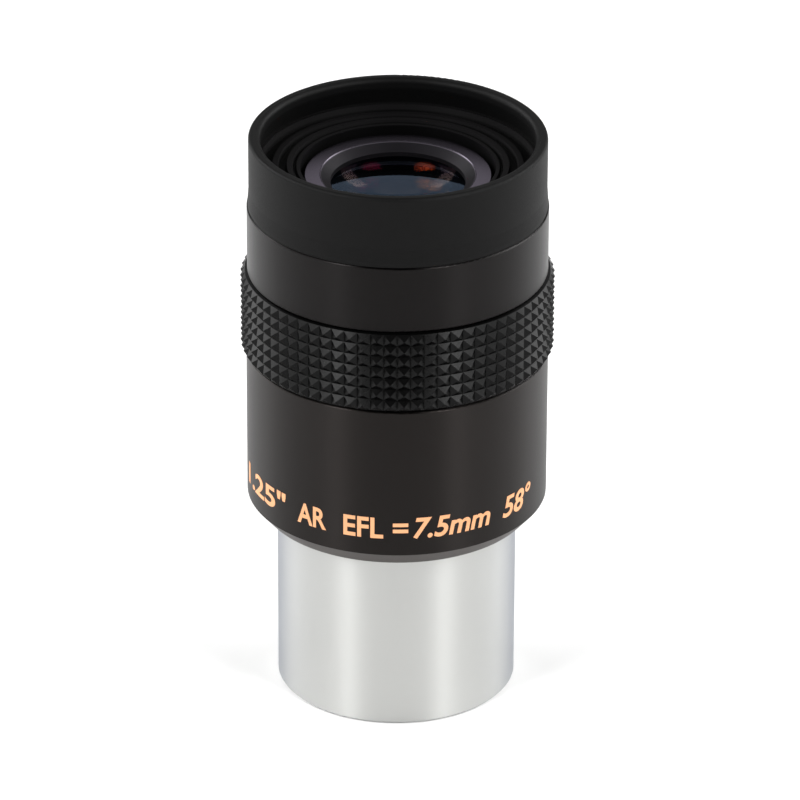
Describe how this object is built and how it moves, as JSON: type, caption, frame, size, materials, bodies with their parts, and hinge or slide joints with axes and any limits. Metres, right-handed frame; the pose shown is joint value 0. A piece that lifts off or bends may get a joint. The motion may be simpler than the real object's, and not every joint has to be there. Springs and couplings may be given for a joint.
{
  "type": "telescope eyepiece",
  "caption": "Short-focus telescope eyepiece with a plated slide-in barrel, black body, studded rubber grip and a soft rubber eye guard on a twist-up sleeve.",
  "frame": {"origin": "middle of the barrel's open end, which is the bottom of the eyepiece standing on its barrel", "axes": "+Z along the optical axis from the telescope towards the eye; the eyepiece is round about Z"},
  "size_m": [0.0412, 0.0412, 0.0787],
  "materials": {
    "barrel_plating": "satin chrome plating, turned",
    "anodised_black": "satin black anodised",
    "anodised_inner": "matt black anodised",
    "anodised_cap": "satin black anodised, fine turned",
    "coated_glass": "polished, multi-coated",
    "inner_coated_glass": "polished, red-reflecting multi-coating",
    "nylon": "natural nylon",
    "blackened_steel": "black oxide",
    "grip_rubber": "satin moulded rubber",
    "guard_rubber": "matt soft rubber"
  },
  "bodies": {
    "housing": {"body_shell": "anodised_black", "light_baffle": "anodised_inner", "lens_cell": "anodised_inner", "field_stop": "anodised_inner", "doublet_flint": "inner_coated_glass", "doublet_crown": "inner_coated_glass", "lower_spacer": "anodised_inner", "middle_lens": "inner_coated_glass", "upper_spacer": "anodised_inner", "eye_lens": "coated_glass", "eye_lens_cap": "anodised_cap"},
    "field_group": {"field_lens_cell": "anodised_inner", "field_lens_flint": "coated_glass", "field_lens_crown": "coated_glass", "field_lens_retainer": "anodised_inner"},
    "nosepiece": {"nosepiece_barrel": "barrel_plating"},
    "drag": {"drag_ring": "nylon"},
    "guard": {"twist_sleeve": "anodised_black", "guide_screws": "blackened_steel", "grip_ring": "grip_rubber", "eye_guard": "guard_rubber", "cup_floor": "anodised_inner"}
  },
  "joints": [
    {"name": "nosepiece_drop", "type": "slide", "parent": "housing", "child": "field_group", "axis": [0, 0, 1], "range_m": [-0.00525, 0]},
    {"name": "nosepiece_turn", "type": "hinge", "parent": "field_group", "child": "nosepiece", "pos_m": [0, 0, 0], "axis": [0, 0, 1], "range_deg": [-2522, 2]},
    {"name": "guard_lift", "type": "slide", "parent": "housing", "child": "drag", "axis": [0, 0, 1], "range_m": [0, 0.009]},
    {"name": "guard_turn", "type": "hinge", "parent": "drag", "child": "guard", "pos_m": [0, 0, 0], "axis": [0, 0, 1], "range_deg": [-1, 271]}
  ],
  "couplings": [
    {"joint": "nosepiece_turn", "follows": "nosepiece_drop", "rad_per_m": 8377.6},
    {"joint": "guard_turn", "follows": "guard_lift", "rad_per_m": 523.6}
  ]
}
